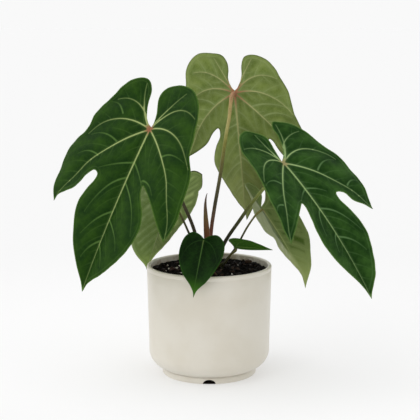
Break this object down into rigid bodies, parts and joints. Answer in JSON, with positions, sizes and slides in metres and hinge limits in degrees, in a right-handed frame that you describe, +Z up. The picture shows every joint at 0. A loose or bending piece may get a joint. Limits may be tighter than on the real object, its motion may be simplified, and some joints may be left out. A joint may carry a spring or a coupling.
{
  "type": "potted anthurium carmenense",
  "caption": "Potted aroid with large lobed hanging leaves on thin stalks, rising from dark bark mix in a footed round ceramic pot.",
  "frame": {"origin": "middle of the whole plant's box, on the surface that the pot's foot stands on; the pot's own axis is a few millimetres beside it", "axes": "+Z up along the pot's axis; -Y towards the pictured side, where the two largest leaves hang forward; +X to the right as pictured"},
  "size_m": [0.348, 0.2128, 0.3579],
  "materials": {
    "glaze": "satin",
    "bark_mix": "matte",
    "leaf": "satin",
    "stalk": "satin",
    "stem": "matte",
    "sheath": "satin"
  },
  "bodies": {
    "root": {"pot": "glaze", "soil": "bark_mix", "stem": "stem", "new_leaf_spike": "sheath", "blade_front_left": "leaf", "blade_back_center": "leaf", "blade_front_right": "leaf", "blade_back_right": "leaf", "blade_back_left": "leaf", "blade_front_small": "leaf", "blade_right_small": "leaf", "stalk_front_left": "stalk", "stalk_back_center": "stalk", "stalk_front_right": "stalk", "stalk_back_right": "stalk", "stalk_back_left": "stalk", "stalk_front_small": "stalk", "stalk_right_small": "stalk"}
  },
  "joints": []
}
